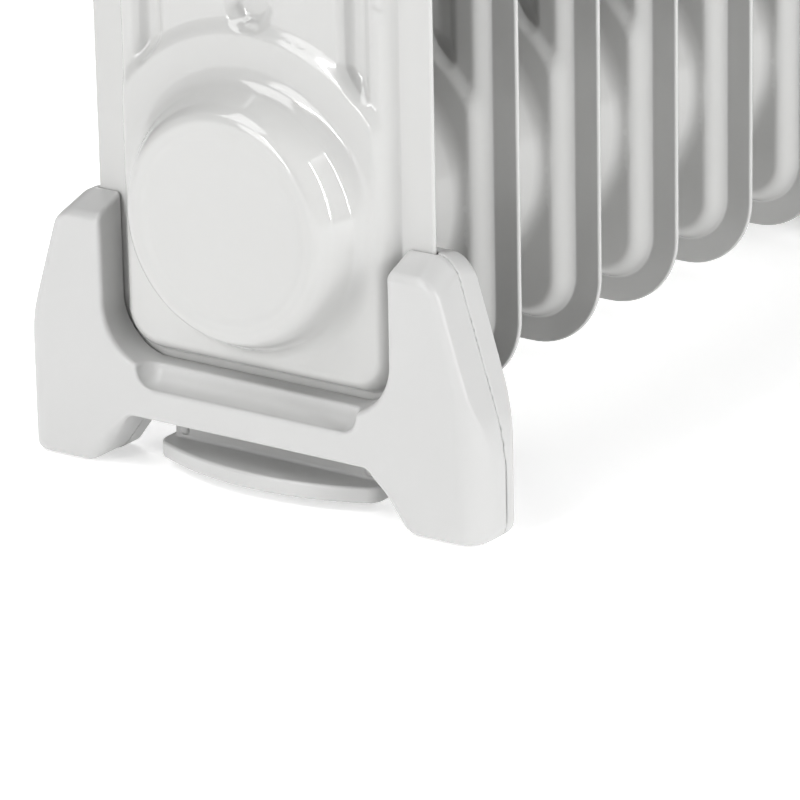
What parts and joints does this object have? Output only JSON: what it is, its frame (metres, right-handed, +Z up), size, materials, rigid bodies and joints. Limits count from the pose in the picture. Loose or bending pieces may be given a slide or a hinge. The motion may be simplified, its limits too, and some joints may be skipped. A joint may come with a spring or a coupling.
{
  "type": "oil filled radiator heater",
  "caption": "Slim column heater: welded oil filled fins in a row on two clamped feet, fold-out castors beneath, and a control box with a knob, two rockers and a grip at one end.",
  "frame": {"origin": "on the floor under the middle of the heater's bounding box", "axes": "+X along the row of fins to the control box, +Y across the heater, +Z up"},
  "size_m": [0.42, 0.153, 0.64],
  "materials": {
    "enamel": "gloss",
    "white_plastic": "satin",
    "grey_plastic": "satin",
    "dark_plastic": "matte",
    "steel": "satin",
    "brass": "satin",
    "lens": "gloss"
  },
  "bodies": {
    "heater": {"fin_1": "enamel", "fin_2": "enamel", "fin_3": "enamel", "fin_4": "enamel", "fin_5": "enamel", "fin_6": "enamel", "fin_7": "enamel", "fin_8": "enamel", "fin_9": "enamel", "header_collars": "steel", "filler_plug": "brass", "element_flange": "brass", "element_gasket": "dark_plastic", "heating_rods": "steel", "thermal_cutout": "dark_plastic", "foot_a_outer_shell": "white_plastic", "foot_a_inner_shell": "white_plastic", "foot_a_screws": "steel", "foot_a_hinge_pins": "steel", "foot_b_outer_shell": "white_plastic", "foot_b_inner_shell": "white_plastic", "foot_b_screws": "steel", "foot_b_hinge_pins": "steel", "back_plate": "steel", "control_cover": "white_plastic", "cover_screws": "steel", "thermostat_body": "dark_plastic", "switch_housing": "dark_plastic", "pilot_lens": "lens", "tilt_switch": "dark_plastic", "terminal_block": "white_plastic", "cord_gland": "dark_plastic", "cord_hooks": "white_plastic", "carry_handle": "grey_plastic", "handle_screws": "steel"},
    "castor_carrier_a": {"carrier_a": "white_plastic", "carrier_a_kingpins": "steel"},
    "castor_a_left": {"castor_a_left_fork": "grey_plastic", "castor_a_left_axle": "steel"},
    "castor_a_left_roller": {"castor_a_left_wheel": "dark_plastic"},
    "castor_a_right": {"castor_a_right_fork": "grey_plastic", "castor_a_right_axle": "steel"},
    "castor_a_right_roller": {"castor_a_right_wheel": "dark_plastic"},
    "castor_carrier_b": {"carrier_b": "white_plastic", "carrier_b_kingpins": "steel"},
    "castor_b_left": {"castor_b_left_fork": "grey_plastic", "castor_b_left_axle": "steel"},
    "castor_b_left_roller": {"castor_b_left_wheel": "dark_plastic"},
    "castor_b_right": {"castor_b_right_fork": "grey_plastic", "castor_b_right_axle": "steel"},
    "castor_b_right_roller": {"castor_b_right_wheel": "dark_plastic"},
    "knob": {"thermostat_knob": "grey_plastic", "thermostat_shaft": "brass"},
    "low_power_rocker": {"rocker_low": "dark_plastic"},
    "high_power_rocker": {"rocker_high": "dark_plastic"}
  },
  "joints": [
    {"name": "carrier_a_fold", "type": "hinge", "parent": "heater", "child": "castor_carrier_a", "pos_m": [-0.196, 0, 0.0195], "axis": [0, 1, 0], "range_deg": [0, 90]},
    {"name": "castor_a_left_swivel", "type": "hinge", "parent": "castor_carrier_a", "child": "castor_a_left", "pos_m": [-0.165, 0.0475, 0.014], "axis": [1, 0, 0], "range_deg": [0, 180]},
    {"name": "castor_a_left_roll", "type": "hinge", "parent": "castor_a_left", "child": "castor_a_left_roller", "pos_m": [-0.1484, 0.0315, 0.014], "axis": [0, 0, 1], "continuous": true},
    {"name": "castor_a_right_swivel", "type": "hinge", "parent": "castor_carrier_a", "child": "castor_a_right", "pos_m": [-0.165, -0.0475, 0.014], "axis": [-1, 0, 0], "range_deg": [0, 180]},
    {"name": "castor_a_right_roll", "type": "hinge", "parent": "castor_a_right", "child": "castor_a_right_roller", "pos_m": [-0.1484, -0.0315, 0.014], "axis": [0, 0, 1], "continuous": true},
    {"name": "carrier_b_fold", "type": "hinge", "parent": "heater", "child": "castor_carrier_b", "pos_m": [0.136, 0, 0.0195], "axis": [0, -1, 0], "range_deg": [0, 90]},
    {"name": "castor_b_left_swivel", "type": "hinge", "parent": "castor_carrier_b", "child": "castor_b_left", "pos_m": [0.105, -0.0475, 0.014], "axis": [-1, 0, 0], "range_deg": [0, 180]},
    {"name": "castor_b_left_roll", "type": "hinge", "parent": "castor_b_left", "child": "castor_b_left_roller", "pos_m": [0.0884, -0.0315, 0.014], "axis": [0, 0, 1], "continuous": true},
    {"name": "castor_b_right_swivel", "type": "hinge", "parent": "castor_carrier_b", "child": "castor_b_right", "pos_m": [0.105, 0.0475, 0.014], "axis": [1, 0, 0], "range_deg": [0, 180]},
    {"name": "castor_b_right_roll", "type": "hinge", "parent": "castor_b_right", "child": "castor_b_right_roller", "pos_m": [0.0884, 0.0315, 0.014], "axis": [0, 0, 1], "continuous": true},
    {"name": "thermostat_turn", "type": "hinge", "parent": "heater", "child": "knob", "pos_m": [0.196, 0, 0.535], "axis": [-1, 0, 0], "range_deg": [0, 280]},
    {"name": "low_power_switch", "type": "hinge", "parent": "heater", "child": "low_power_rocker", "pos_m": [0.192, -0.015, 0.47], "axis": [0, -1, 0], "range_deg": [0, 16]},
    {"name": "high_power_switch", "type": "hinge", "parent": "heater", "child": "high_power_rocker", "pos_m": [0.192, 0.015, 0.47], "axis": [0, -1, 0], "range_deg": [0, 16]}
  ]
}
